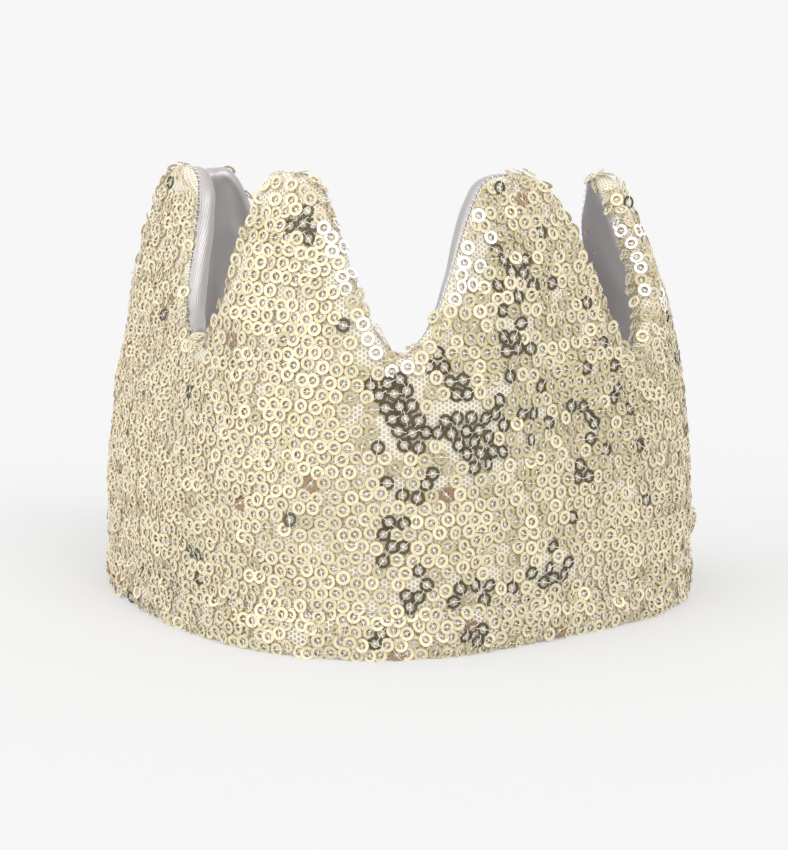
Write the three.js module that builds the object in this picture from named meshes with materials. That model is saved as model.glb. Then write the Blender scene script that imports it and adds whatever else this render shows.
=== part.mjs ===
// A child's soft dress-up crown: a padded wall with five rounded peaks, faced with sequinned
// net, lined with satin, hemmed with a separate sequinned band and closed at the back by a low
// gathered casing with elastic in it. Millimetres, +Z up, the crown stands on Z = 0, the middle
// peak faces -Y and the elastic is at +Y.
import * as THREE from 'three';
import { mergeVertices } from 'three/addons/utils/BufferGeometryUtils.js';

// ---- Driving dimensions ----------------------------------------------------------------

// The outline of the head opening, on the outside: a circle that the cloth has let go out of
// true. Each wave is [times round the lap, cosine part, sine part].
const OUTLINE_RADIUS = 78.8;
const OUTLINE_WAVES = [[2, -3.3, -3.4], [3, 2.8, 5.5], [4, 2.3, -0.1], [5, -1.1, 0.3]];
const FRONT_AZIMUTH = -2 * Math.PI / 180;
const OUTLINE_CENTRE = new THREE.Vector2(4.3, -0.9);   // puts the crown's middle on the axis

// Peaks from the -X side seam round the front to the +X one: place round the outline from the
// front centre, height, how far the cloth leans in at the tip and below the peak, and where its
// two sides fall most steeply, as shares of the way to the valleys.
const PEAKS = [
  { at: -158, height: 119, tipLean: 9, wallLean: 3, widths: [0.68, 0.68] },
  { at: -87, height: 122, tipLean: 18, wallLean: 8, widths: [0.68, 0.68] },
  { at: 0, height: 124, tipLean: 12, wallLean: 3, widths: [0.43, 0.68] },
  { at: 83, height: 123, tipLean: 13, wallLean: 4, widths: [0.68, 0.68] },
  { at: 163, height: 120, tipLean: 23, wallLean: 6, widths: [0.68, 0.68] },
];
const VALLEY_HEIGHTS = [76, 79, 77, 70];
const PEAK_SQUARENESS = 3.3;
const WALL_HEIGHT = 77;        // where the peaks start to lean more than the wall
const TIP_RISE = 43;           // from there to where a peak's own lean is reached
const TIP_BEND = 1.3;
const END_WIDTH = 29;          // from the tip of an end peak to its side seam
const END_ROUNDNESS = 2.5;
const END_CURL = [5, 24];      // extra lean inwards of the two ends at CURL_HEIGHT
const CURL_HEIGHT = 90;
const CURL_REACH = 14;
// The front side of the second peak is turned in
const TURNED_IN = { at: -58, inward: 6.5, reach: 24, from: 35, rise: 65 };

const CASING_HEIGHT = 26;      // the gathered back
const WALL_THICKNESS = 7;
const SKIN = 0.8;              // sequinned net, and satin
const GAP = 0.35;              // between pieces that touch
const BAND_HEIGHT = 12.3;      // the hem band
const BAND_THICKNESS = 3;
const GROOVE = 1.0;            // between the hem band and the net above it
const THREAD = 0.2;            // radius of the stitching

const PUCKER = 6;              // how far the net stands out beside a side seam
const PUCKER_FROM_SEAM = 11;
const PUCKER_WIDTH = 8;
const PUCKER_HEIGHT = 17;
const PUCKER_TALLNESS = 7;

const GATHERS = 15;            // folds across the back casing
const GATHER_DEPTH = 3;
const CASING_PUFF = 4;         // how far the casing swells out at half height
const CASING_SKIN = 1;         // each face of the casing
const SATIN_PUFF = 0.6;        // of the net's swelling, on the inside
const ELASTIC_WIDTH = 18;
const ELASTIC_THICKNESS = 1.2;
const ELASTIC_CLEARANCE = 0.7; // from the elastic to the faces of its casing

const EDGE_STEPS = 144;        // along the peaks
const BAND_STEPS = 64;
const CASING_STEPS = GATHERS * 4;

// ---- The outline -----------------------------------------------------------------------

const LAP_STEPS = 2000;
const SEAM_TURN = 6;
const NET_BOTTOM = BAND_HEIGHT + GROOVE;
const { azimuths, arcs } = measureLap();
const LAP = arcs[LAP_STEPS] - arcs[0];

const RIM = WALL_THICKNESS / 2;
const SHELL_START = PEAKS[0].at - END_WIDTH;
const SHELL_END = PEAKS[4].at + END_WIDTH;
const CASING_START = SHELL_END + GAP;
const CASING_END = SHELL_START + LAP - GAP;

function outlinePoint(azimuth) {
  let r = OUTLINE_RADIUS;
  for (const [n, c, s] of OUTLINE_WAVES) {
    r += c * Math.cos(n * azimuth) + s * Math.sin(n * azimuth);
  }
  return new THREE.Vector2(r * Math.sin(azimuth), -r * Math.cos(azimuth)).add(OUTLINE_CENTRE);
}

// Lengths along the outline, from half a lap before the front centre to half a lap after it
function measureLap() {
  const azimuths = [];
  const arcs = [0];
  for (let i = 0; i <= LAP_STEPS; i++) {
    azimuths.push(FRONT_AZIMUTH + (i / LAP_STEPS * 2 - 1) * Math.PI);
    if (i > 0) {
      const step = outlinePoint(azimuths[i]).distanceTo(outlinePoint(azimuths[i - 1]));
      arcs.push(arcs[i - 1] + step);
    }
  }
  const front = arcs[LAP_STEPS / 2];
  return { azimuths, arcs: arcs.map((arc) => arc - front) };
}

function azimuthAt(arc) {
  const wrapped = THREE.MathUtils.euclideanModulo(arc - arcs[0], LAP) + arcs[0];
  let low = 0;
  let high = LAP_STEPS;
  while (high - low > 1) {
    const middle = (low + high) >> 1;
    if (arcs[middle] <= wrapped) low = middle;
    else high = middle;
  }
  const part = (wrapped - arcs[low]) / (arcs[high] - arcs[low]);
  return azimuths[low] + part * (azimuths[high] - azimuths[low]);
}

// A value given at each peak, carried smoothly along the outline between them
function betweenPeaks(arc, key) {
  if (arc <= PEAKS[0].at) return PEAKS[0][key];
  for (let i = 1; i < PEAKS.length; i++) {
    const [a, b] = [PEAKS[i - 1], PEAKS[i]];
    if (arc <= b.at) {
      const part = (1 - Math.cos(Math.PI * (arc - a.at) / (b.at - a.at))) / 2;
      return a[key] + part * (b[key] - a[key]);
    }
  }
  return PEAKS[PEAKS.length - 1][key];
}

// How far the cloth leans in at a height
function lean(arc, z) {
  const wall = betweenPeaks(arc, 'wallLean');
  const tip = betweenPeaks(arc, 'tipLean');
  let inward = wall * Math.min(z / WALL_HEIGHT, 1) ** 3;
  inward += (tip - wall) * (Math.max(z - WALL_HEIGHT, 0) / TIP_RISE) ** TIP_BEND;
  const turned = Math.exp(-(((arc - TURNED_IN.at) / TURNED_IN.reach) ** 2));
  inward += TURNED_IN.inward * turned * Math.max((z - TURNED_IN.from) / TURNED_IN.rise, 0);
  [SHELL_START, SHELL_END].forEach((end, i) => {
    const near = Math.exp(-(((arc - end) / CURL_REACH) ** 2));
    inward += END_CURL[i] * near * (Math.max(z, 0) / CURL_HEIGHT) ** 2;
  });
  return inward;
}

// The point that lies `depth` inside the outer face, at a place round the outline and a height
function place(arc, z, depth) {
  const azimuth = azimuthAt(arc);
  const point = outlinePoint(azimuth);
  const along = outlinePoint(azimuth + 0.01).sub(outlinePoint(azimuth - 0.01)).normalize();
  const inward = depth + (arc > SHELL_END ? 0 : lean(arc, z));
  return new THREE.Vector3(point.x - along.y * inward, point.y + along.x * inward, z);
}

// Height of the cut edge of the wall
function edgeHeight(arc) {
  const first = PEAKS[0];
  const last = PEAKS[PEAKS.length - 1];
  if (arc <= first.at || arc >= last.at) {
    const peak = arc <= first.at ? first : last;
    const fall = Math.min(Math.abs(arc - peak.at) / END_WIDTH, 1) ** END_ROUNDNESS;
    return peak.height - (peak.height - CASING_HEIGHT - RIM) * fall;
  }
  const i = PEAKS.findIndex((peak, k) => arc <= PEAKS[k + 1].at);
  const half = (PEAKS[i + 1].at - PEAKS[i].at) / 2;
  const before = arc < PEAKS[i].at + half;
  const peak = before ? PEAKS[i] : PEAKS[i + 1];
  const away = Math.abs(arc - peak.at) / half / peak.widths[before ? 1 : 0];
  return VALLEY_HEIGHTS[i] + (peak.height - VALLEY_HEIGHTS[i]) * Math.exp(-(away ** PEAK_SQUARENESS));
}

// ---- Solids ----------------------------------------------------------------------------

// A closed slab: `shape(u, v, w)` places the point at fractions u along, v up, w through it
function slab(columns, rows, shape) {
  const geometry = new THREE.BoxGeometry(1, 1, 1, columns, rows, 1);
  const position = geometry.getAttribute('position');
  for (let i = 0; i < position.count; i++) {
    const point = shape(position.getX(i) + 0.5, position.getY(i) + 0.5, 0.5 - position.getZ(i));
    position.setXYZ(i, point.x, point.y, point.z);
  }
  geometry.deleteAttribute('normal');
  geometry.deleteAttribute('uv');
  const welded = mergeVertices(geometry, 1e-6);
  welded.computeVertexNormals();
  return welded;
}

// The place round the outline that lies a fraction of the way along the cut edge
const EDGE_SAMPLES = 3000;
const edgeLengths = [0];
for (let i = 1; i <= EDGE_SAMPLES; i++) {
  const step = (SHELL_END - SHELL_START) / EDGE_SAMPLES;
  const arc = SHELL_START + i * step;
  const rise = edgeHeight(arc) - edgeHeight(arc - step);
  edgeLengths.push(edgeLengths[i - 1] + Math.hypot(step, rise));
}

function arcAlongEdge(fraction) {
  const length = fraction * edgeLengths[EDGE_SAMPLES];
  const after = Math.max(edgeLengths.findIndex((sample) => sample >= length - 1e-9), 1);
  const part = (length - edgeLengths[after - 1]) / (edgeLengths[after] - edgeLengths[after - 1]);
  return THREE.MathUtils.lerp(SHELL_START, SHELL_END, (after - 1 + part) / EDGE_SAMPLES);
}

// The edge of the wall is round: this is the middle of that rounding, which the wall's faces
// run up to, and the direction from it to the edge
function rimAt(fraction) {
  const arc = arcAlongEdge(fraction);
  const slope = edgeHeight(arc + 0.5) - edgeHeight(arc - 0.5);
  const length = Math.hypot(1, slope);
  const out = new THREE.Vector2(-slope / length, 1 / length);
  // At the side seams the wall is cut straight, so the rounding turns upright there
  const seam = Math.min(Math.min(arc - SHELL_START, SHELL_END - arc) / SEAM_TURN, 1);
  out.set(out.x * seam, THREE.MathUtils.lerp(1, out.y, seam));
  const reach = RIM * out.length();
  out.normalize();
  const centre = new THREE.Vector2(arc - out.x * reach, edgeHeight(arc) - out.y * reach);
  return { centre, out };
}

// A point on a layer of the wall that is `radius` from the wall's middle. Turn 0 is the outer
// face, a half turn the inner face, and between them is the way over the edge.
function overEdge(rim, radius, turn) {
  const up = radius * Math.sin(turn);
  const depth = RIM - radius * Math.cos(turn);
  return place(rim.centre.x + rim.out.x * up, rim.centre.y + rim.out.y * up, depth);
}

// How far the net is pushed out beside the side seams, where the elastic draws it in
function pucker(arc, z) {
  const height = Math.exp(-(((z - PUCKER_HEIGHT) / PUCKER_TALLNESS) ** 2));
  const from = [arc - SHELL_START, SHELL_END - arc];
  const along = from.map((way) => Math.exp(-(((way - PUCKER_FROM_SEAM) / PUCKER_WIDTH) ** 2)));
  return PUCKER * height * Math.min(along[0] + along[1], 1);
}

// The net and the satin meet on top of the edge, sewn together and turned
const NET_OVER_EDGE = THREE.MathUtils.degToRad(86);
const SATIN_OVER_EDGE = THREE.MathUtils.degToRad(95);
const EDGE_ROWS = 3;           // of each face, over the edge

// The rows of the wall's faces: the first is at the layer's own bottom, and the others stand at
// these fractions of the way from the groove to the rounded edge, in every layer alike
const ROW_FRACTIONS = [0, 0.05, 0.11, 0.3, 0.53, 0.77, 1];
const LOWER_ROWS = ROW_FRACTIONS.length - 1;

function rowHeight(row, bottom, top) {
  const index = Math.round(row);
  return index === 0 ? bottom : THREE.MathUtils.lerp(NET_BOTTOM, top, ROW_FRACTIONS[index]);
}

function sequinNet() {
  const rows = LOWER_ROWS + EDGE_ROWS;
  return slab(EDGE_STEPS, rows, (u, v, w) => {
    const rim = rimAt(u);
    const radius = RIM - w * SKIN;
    const row = v * rows;
    if (row > LOWER_ROWS + 1e-6) {
      return overEdge(rim, radius, NET_OVER_EDGE * (row - LOWER_ROWS) / EDGE_ROWS);
    }
    const z = rowHeight(row, NET_BOTTOM, rim.centre.y);
    const stand = w > 0.5 ? 0 : pucker(rim.centre.x, z);
    return place(rim.centre.x, z, w * SKIN - stand);
  });
}

function wadding() {
  const depth = SKIN + GAP;
  const radius = RIM - depth;
  const rows = LOWER_ROWS + EDGE_ROWS;
  return slab(EDGE_STEPS, rows, (u, v, w) => {
    const rim = rimAt(u);
    const row = v * rows;
    if (row > LOWER_ROWS - 1e-6) {
      const turn = NET_OVER_EDGE * (row - LOWER_ROWS) / EDGE_ROWS;
      return overEdge(rim, radius, w < 0.5 ? turn : Math.PI - turn);
    }
    const z = rowHeight(row, BAND_HEIGHT + GAP, rim.centre.y);
    return place(rim.centre.x, z, depth + w * 2 * radius);
  });
}

function satinLining() {
  const rows = LOWER_ROWS + EDGE_ROWS;
  return slab(EDGE_STEPS, rows, (u, v, w) => {
    const rim = rimAt(u);
    const radius = RIM - (1 - w) * SKIN;
    const row = v * rows;
    if (row > LOWER_ROWS - 1e-6) {
      const part = (row - LOWER_ROWS) / EDGE_ROWS;
      const turn = THREE.MathUtils.lerp(Math.PI, SATIN_OVER_EDGE, part);
      return overEdge(rim, radius, turn);
    }
    const z = rowHeight(row, 2 * GAP, rim.centre.y);
    return place(rim.centre.x, z, RIM + radius);
  });
}

// A strip of the wall between two depths and two heights
function strip(from, to, columns, bottom, top, outer, inner, rows = 1) {
  return slab(columns, rows, (u, v, w) => place(
    THREE.MathUtils.lerp(from, to, u),
    THREE.MathUtils.lerp(bottom, top, v),
    THREE.MathUtils.lerp(outer, inner, w),
  ));
}

// The back casing is gathered on its elastic: folds in its faces, swollen at half height
function gathers(arc, z) {
  const along = (arc - CASING_START) / (CASING_END - CASING_START);
  const fold = Math.abs(Math.sin(Math.PI * GATHERS * along)) ** 0.7;
  const up = Math.sin(Math.PI * THREE.MathUtils.clamp(z / CASING_HEIGHT, 0.04, 0.96));
  return up ** 0.6 * (CASING_PUFF - GATHER_DEPTH + GATHER_DEPTH * fold);
}

const ELASTIC_DEPTH = CASING_SKIN * 2 + ELASTIC_CLEARANCE;
const CASING_INSIDE = ELASTIC_DEPTH + ELASTIC_THICKNESS + ELASTIC_CLEARANCE;

function casingFace(outside) {
  const rows = 4;
  return slab(CASING_STEPS, rows, (u, v, w) => {
    const arc = THREE.MathUtils.lerp(CASING_START, CASING_END, u);
    const z = THREE.MathUtils.lerp(outside ? 0 : 2 * GAP, CASING_HEIGHT, v);
    const stand = gathers(arc, z);
    if (outside) return place(arc, z, w < 0.5 ? CASING_SKIN - stand : CASING_SKIN * 2);
    return place(arc, z, CASING_INSIDE + (w < 0.5 ? 0 : CASING_SKIN + stand * SATIN_PUFF));
  });
}

// A stitch line: a thread of round section swept along a list of points
function thread(points, radius) {
  const path = new THREE.CatmullRomCurve3(points, false, 'centripetal');
  const section = new THREE.Shape();
  section.absarc(0, 0, radius, 0, 2 * Math.PI, false);
  const geometry = new THREE.ExtrudeGeometry(section, {
    steps: points.length - 1,
    curveSegments: 3,
    extrudePath: path,
  });
  geometry.deleteAttribute('normal');
  geometry.deleteAttribute('uv');
  const welded = mergeVertices(geometry, 1e-5);
  welded.computeVertexNormals();
  return welded;
}

function edgeThread() {
  const points = [];
  for (let i = 0; i <= EDGE_STEPS; i++) {
    const rim = rimAt(0.01 + 0.98 * i / EDGE_STEPS);
    const turn = (NET_OVER_EDGE + SATIN_OVER_EDGE) / 2;
    points.push(overEdge(rim, RIM + 2 * GAP + THREAD, turn));
  }
  return thread(points, THREAD);
}

function levelThread(from, to, columns, z, depth) {
  const points = [];
  for (let i = 0; i <= columns; i++) {
    points.push(place(THREE.MathUtils.lerp(from, to, i / columns), z, depth));
  }
  return thread(points, THREAD);
}

// ---- The crown -------------------------------------------------------------------------

const FINISHES = {
  sequin_net: { color: '#ddd2ae', roughness: 0.35, metalness: 0.55 },
  wadding: { color: '#f1ece0', roughness: 0.95, metalness: 0 },
  satin: { color: '#a9a7b0', roughness: 0.38, metalness: 0.15 },
  elastic: { color: '#f4f4f2', roughness: 0.8, metalness: 0 },
  thread: { color: '#efe9da', roughness: 0.7, metalness: 0 },
  label: { color: '#fbfbfa', roughness: 0.5, metalness: 0 },
};

const crown = new THREE.Group();

function add(name, finish, geometry) {
  const mesh = new THREE.Mesh(geometry, new THREE.MeshStandardMaterial(FINISHES[finish]));
  mesh.name = name;
  crown.add(mesh);
}

const BAND_INSIDE = BAND_THICKNESS + GAP;
const WALL_INSIDE = WALL_THICKNESS - SKIN - GAP;
add('sequin_net_shell', 'sequin_net', sequinNet());
add('wadding', 'wadding', wadding());
add('satin_lining', 'satin', satinLining());
add('hem_band', 'sequin_net', strip(
  SHELL_START, SHELL_END, BAND_STEPS, 0, BAND_HEIGHT, 0, BAND_THICKNESS));
add('hem_facing', 'satin', strip(
  SHELL_START, SHELL_END, BAND_STEPS, 2 * GAP, BAND_HEIGHT, BAND_INSIDE, WALL_INSIDE));
add('edge_thread', 'thread', edgeThread());
add('hem_thread', 'thread', levelThread(
  SHELL_START + 1, SHELL_END - 1, BAND_STEPS, BAND_HEIGHT + GROOVE / 2, THREAD));

// Side seams: a bar of close stitches up the outside of each end of the wall
const SEAM_WIDTH = 1.4;
const SEAM_THICKNESS = 0.5;
for (const [name, middle] of [['side_seam_left', SHELL_START + 2], ['side_seam_right', SHELL_END - 2]]) {
  add(name, 'thread', slab(2, 8, (u, v, w) => {
    const arc = middle + (u - 0.5) * SEAM_WIDTH;
    const z = THREE.MathUtils.lerp(NET_BOTTOM, CASING_HEIGHT - 1, v);
    return place(arc, z, -pucker(middle, z) - 2 * GAP - (1 - w) * SEAM_THICKNESS);
  }));
}

// A blank sewn-in label on the lining beside the left side seam
const LABEL = { at: SHELL_START + 26, width: 14, bottom: 14, height: 22, thickness: 0.4 };
add('care_label', 'label', strip(
  LABEL.at - LABEL.width / 2, LABEL.at + LABEL.width / 2, 3,
  LABEL.bottom, LABEL.bottom + LABEL.height,
  WALL_THICKNESS + GAP, WALL_THICKNESS + GAP + LABEL.thickness));

// The back: a gathered tube of net and satin over flat elastic
const ELASTIC_BOTTOM = (CASING_HEIGHT - ELASTIC_WIDTH) / 2;
add('back_casing_net', 'sequin_net', casingFace(true));
add('back_casing_satin', 'satin', casingFace(false));
add('back_elastic', 'elastic', strip(
  CASING_START, CASING_END, 40, ELASTIC_BOTTOM, ELASTIC_BOTTOM + ELASTIC_WIDTH,
  ELASTIC_DEPTH, ELASTIC_DEPTH + ELASTIC_THICKNESS));

export default crown;
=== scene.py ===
import math

import bpy
import numpy as np
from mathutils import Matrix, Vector


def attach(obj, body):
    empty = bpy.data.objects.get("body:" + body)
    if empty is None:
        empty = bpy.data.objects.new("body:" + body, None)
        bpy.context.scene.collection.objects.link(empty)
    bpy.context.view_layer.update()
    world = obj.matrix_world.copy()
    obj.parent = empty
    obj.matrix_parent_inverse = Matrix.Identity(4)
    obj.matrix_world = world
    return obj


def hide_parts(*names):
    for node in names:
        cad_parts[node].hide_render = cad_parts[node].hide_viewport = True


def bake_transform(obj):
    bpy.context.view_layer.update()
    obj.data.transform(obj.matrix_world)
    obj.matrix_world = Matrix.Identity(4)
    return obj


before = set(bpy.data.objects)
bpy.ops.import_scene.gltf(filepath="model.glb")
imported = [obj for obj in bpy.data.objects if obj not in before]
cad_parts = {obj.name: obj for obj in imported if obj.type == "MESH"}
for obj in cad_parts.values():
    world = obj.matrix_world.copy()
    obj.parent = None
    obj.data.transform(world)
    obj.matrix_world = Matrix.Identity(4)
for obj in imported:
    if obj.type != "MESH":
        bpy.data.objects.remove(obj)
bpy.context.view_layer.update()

# ---- Driving dimensions, in millimetres, the same as the CAD model's

MM = 0.001
OUTLINE_RADIUS = 78.8
OUTLINE_WAVES = ((2, -3.3, -3.4), (3, 2.8, 5.5), (4, 2.3, -0.1), (5, -1.1, 0.3))
OUTLINE_CENTRE = (4.3, -0.9)
FRONT_AZIMUTH = math.radians(-2)
LAP_STEPS = 4000
# Peaks: places round the outline from the middle one, heights, and how far tip and wall lean
PEAK_AT = np.array([-158.0, -87.0, 0.0, 83.0, 163.0])
PEAK_HEIGHT = np.array([119.0, 122.0, 124.0, 123.0, 120.0])
TIP_LEAN = np.array([9.0, 18.0, 12.0, 13.0, 23.0])
WALL_LEAN = np.array([3.0, 8.0, 3.0, 4.0, 6.0])
VALLEY_HEIGHT = np.array([76.0, 79.0, 77.0, 70.0])
PEAK_WIDTHS = np.array([[0.68, 0.68], [0.68, 0.68], [0.43, 0.68], [0.68, 0.68], [0.68, 0.68]])
PEAK_SQUARENESS = 3.3
WALL_HEIGHT = 77.0
TIP_RISE = 43.0  # over which a tip's lean comes in
TIP_BEND = 1.3
END_WIDTH = 29.0  # from the tip of an end peak to its side seam
END_ROUNDNESS = 2.5
END_CURL = (5.0, 24.0)  # how far the wall's two ends curl in
CURL_HEIGHT = 90.0
CURL_REACH = 14.0
TURNED_IN_AT = -58.0  # the second peak's side, turned in more than the rest
TURNED_IN = 6.5
TURNED_IN_REACH = 24.0
TURNED_IN_FROM = 35.0
TURNED_IN_RISE = 65.0
WALL_THICKNESS = 7.0
RIM = WALL_THICKNESS / 2  # radius of the rounded edge
SEAM_TURN = 6.0  # over which the rounding turns upright at a side seam
SKIN = 0.8  # net or satin with its seam allowance
GAP = 0.35
BAND_HEIGHT = 12.3
BAND_THICKNESS = 3.0
NET_BOTTOM = 13.3
PUCKER = 6.0  # how far the net stands out beside a side seam
PUCKER_FROM_SEAM = 11.0
PUCKER_WIDTH = 8.0
PUCKER_HEIGHT = 17.0
PUCKER_TALLNESS = 7.0
CASING_HEIGHT = 26.0
CASING_DEPTH = 3.3  # of the elastic, from the outer face
GATHERS = 15

# ---- Dimensions that only the looks have

CLOTH = 0.25  # thickness of net and satin
DEEPEST_NET = 0.8  # clear of the wadding
CREASE_AT = 30.0  # a soft upright crease in the front
NET_CELL = 1.25
TWILL = 0.6  # from one float of the satin to the next
CHANNEL_AT = (4.0, 22.0)  # rows of gathering stitches on the casing
ELASTIC_FROM = 4.6
ELASTIC_WIDTH = 16.8
SEQUIN_RADIUS = 2.0
SEQUIN_HOLE = 0.93
SEQUIN_THICKNESS = 0.16
SEQUIN_EDGE = 0.12
SEQUIN_SPACING = 3.75
SEQUIN_SIDES = 16
DARK_HOLE = 1.25  # a dark sequin, a painted dark reflection, shows narrower than a pale one: its dished edges catch the light, which leaves less of the ring dark
DARK_RING = 0.96  # catch the light, which leaves less of the ring dark

random = np.random.default_rng(20)


# ---- The outline and the cut edge

def outline(azimuth):
    """Points of the wall's outer face at the table."""
    r = np.full_like(azimuth, OUTLINE_RADIUS)
    for n, c, s in OUTLINE_WAVES:
        r = r + c * np.cos(n * azimuth) + s * np.sin(n * azimuth)
    return np.stack([r * np.sin(azimuth) + OUTLINE_CENTRE[0],
                     -r * np.cos(azimuth) + OUTLINE_CENTRE[1]], axis=-1)


lap_azimuth = FRONT_AZIMUTH + np.linspace(-math.pi, math.pi, LAP_STEPS + 1)
lap_points = outline(lap_azimuth)
lap_arc = np.concatenate([[0], np.cumsum(np.linalg.norm(np.diff(lap_points, axis=0), axis=1))])
lap_arc -= lap_arc[LAP_STEPS // 2]
LAP = lap_arc[-1] - lap_arc[0]
SHELL_START = PEAK_AT[0] - END_WIDTH
SHELL_END = PEAK_AT[-1] + END_WIDTH
CASING_START = SHELL_END + GAP
CASING_END = SHELL_START + LAP - GAP


def between_peaks(arc, values):
    """One value for each peak, eased from one peak to the next."""
    part = np.interp(arc, PEAK_AT, np.arange(5))
    whole = np.minimum(np.floor(part).astype(int), 3)
    ease = (1 - np.cos(np.pi * (part - whole))) / 2
    return values[whole] + ease * (values[whole + 1] - values[whole])


def lean(arc, z):
    """How far the wall leans in from its foot."""
    wall = between_peaks(arc, WALL_LEAN)
    tip = between_peaks(arc, TIP_LEAN)
    inward = wall * np.minimum(np.maximum(z, 0) / WALL_HEIGHT, 1) ** 3
    inward = inward + (tip - wall) * (np.maximum(z - WALL_HEIGHT, 0) / TIP_RISE) ** TIP_BEND
    turned = np.exp(-((arc - TURNED_IN_AT) / TURNED_IN_REACH) ** 2)
    inward = inward + TURNED_IN * turned * np.maximum((z - TURNED_IN_FROM) / TURNED_IN_RISE, 0)
    for end, curl in zip((SHELL_START, SHELL_END), END_CURL):
        near = np.exp(-((arc - end) / CURL_REACH) ** 2)
        inward = inward + curl * near * (np.maximum(z, 0) / CURL_HEIGHT) ** 2
    return np.where(arc > SHELL_END, 0, inward)


def place(arc, z, depth):
    """Points `depth` inside the outer face, at places round the outline and heights, in mm."""
    arc, z, depth = np.broadcast_arrays(*(np.asarray(a, float) for a in (arc, z, depth)))
    wrapped = (arc - lap_arc[0]) % LAP + lap_arc[0]
    azimuth = np.interp(wrapped, lap_arc, lap_azimuth)
    point = outline(azimuth)
    along = outline(azimuth + 0.01) - outline(azimuth - 0.01)
    along /= np.linalg.norm(along, axis=-1, keepdims=True)
    inward = depth + lean(arc, z)
    return np.stack([point[..., 0] - along[..., 1] * inward,
                     point[..., 1] + along[..., 0] * inward, z], axis=-1)


def edge_height(arc):
    """Height of the wall's cut edge."""
    arc = np.asarray(arc, float)
    i = np.clip(np.searchsorted(PEAK_AT, arc, side="left") - 1, 0, 3)
    half = (PEAK_AT[i + 1] - PEAK_AT[i]) / 2
    before = arc < PEAK_AT[i] + half
    peak = np.where(before, i, i + 1)
    away = np.abs(arc - PEAK_AT[peak]) / half / PEAK_WIDTHS[peak, before.astype(int)]
    valley = VALLEY_HEIGHT[i]
    height = valley + (PEAK_HEIGHT[peak] - valley) * np.exp(-away ** PEAK_SQUARENESS)
    for end in (0, 4):
        outside = arc <= PEAK_AT[0] if end == 0 else arc >= PEAK_AT[4]
        fall = np.minimum(np.abs(arc - PEAK_AT[end]) / END_WIDTH, 1) ** END_ROUNDNESS
        drop = PEAK_HEIGHT[end] - CASING_HEIGHT - RIM
        height = np.where(outside, PEAK_HEIGHT[end] - drop * fall, height)
    return height


sample_arc = np.linspace(SHELL_START, SHELL_END, 6001)
sample_step = np.hypot(np.diff(sample_arc), np.diff(edge_height(sample_arc)))
sample_length = np.concatenate([[0], np.cumsum(sample_step)])
EDGE_LENGTH = sample_length[-1]


def rim_at(fraction):
    """The middle of the edge's rounding as (arc, z), and the way from it to the edge, at a
    fraction of the edge's length."""
    arc = np.interp(np.asarray(fraction) * EDGE_LENGTH, sample_length, sample_arc)
    slope = edge_height(arc + 0.5) - edge_height(arc - 0.5)
    length = np.hypot(1, slope)
    seam = np.clip(np.minimum(arc - SHELL_START, SHELL_END - arc) / SEAM_TURN, 0, 1)
    out = np.stack([-slope / length * seam, 1 + seam * (1 / length - 1)], axis=-1)
    reach = RIM * np.linalg.norm(out, axis=-1)
    out /= np.linalg.norm(out, axis=-1, keepdims=True)
    centre = np.stack([arc - out[..., 0] * reach,
                       edge_height(arc) - out[..., 1] * reach], axis=-1)
    return centre, out


# ---- Soft unevenness

def ripples(seed, count, shortest, longest, upright=1.0):
    """A smooth uneven field over (arc, z), about -1 to 1. `upright` above 1 makes folds that
    run up and down."""
    own = np.random.default_rng(seed)
    turn = own.uniform(0, 2 * np.pi, count)
    wave = 2 * np.pi / own.uniform(shortest, longest, count)
    phase = own.uniform(0, 2 * np.pi, count)

    def field(arc, z):
        total = 0
        for t, k, p in zip(turn, wave, phase):
            total = total + np.sin(k * (np.cos(t) * arc + np.sin(t) * z / upright) + p)
        return total / math.sqrt(count) / 1.4
    return field


slump = ripples(1, 9, 28, 70)
dimples = ripples(2, 14, 9, 20, 1.6)
satin_folds = ripples(3, 10, 16, 44, 2.4)
satin_creases = ripples(4, 12, 6, 13, 3.0)
band_wobble = ripples(5, 8, 8, 30)
gather_warp = ripples(6, 6, 30, 90)
gather_small = ripples(7, 10, 4, 9, 4.0)
row_warp = ripples(8, 8, 18, 60)


def pucker(arc, z):
    """How far the net is pushed out beside the side seams, where the elastic draws it in."""
    height = np.exp(-((z - PUCKER_HEIGHT) / PUCKER_TALLNESS) ** 2)
    ways = (arc - SHELL_START, SHELL_END - arc)
    along = sum(np.exp(-((way - PUCKER_FROM_SEAM) / PUCKER_WIDTH) ** 2) for way in ways)
    return PUCKER * height * np.minimum(along, 1)


def net_depth(arc, z):
    """How far inside the plain outer face the sequinned net lies: slumped, dimpled, tucked
    in at the groove and standing out beside the side seams."""
    groove = 0.9 * np.exp(-np.maximum(z - NET_BOTTOM, -1) / 1.6)
    crease = 0.8 * np.exp(-((arc - CREASE_AT) / 3.0) ** 2) * np.exp(-((z - 45) / 34) ** 2)
    depth = 0.3 + groove + crease - 0.45 * slump(arc, z) - 0.22 * dimples(arc, z)
    return np.minimum(depth, DEEPEST_NET) - pucker(arc, z)


def band_depth(arc, z):
    """How far inside the plain outer face the hem band lies."""
    belly = 0.9 * (np.abs(z - BAND_HEIGHT / 2) / (BAND_HEIGHT / 2)) ** 3
    return 0.1 + belly - 0.25 * band_wobble(arc, z)


def casing_stand(arc, z):
    """How far the gathered casing stands out from its elastic."""
    along = (arc - CASING_START) / (CASING_END - CASING_START)
    warped = GATHERS * along + 0.35 * gather_warp(arc, z)
    fold = np.abs(np.sin(np.pi * warped)) ** 0.8
    channel = 1
    for row in CHANNEL_AT:
        channel = channel - 0.55 * np.exp(-((z - row) / 1.1) ** 2)
    up = np.sin(np.pi * np.clip(z / CASING_HEIGHT, 0.05, 0.95)) ** 0.6
    return up * channel * (2.6 + 3.2 * fold + 0.5 * gather_small(arc, z))


# ---- Meshes

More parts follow.
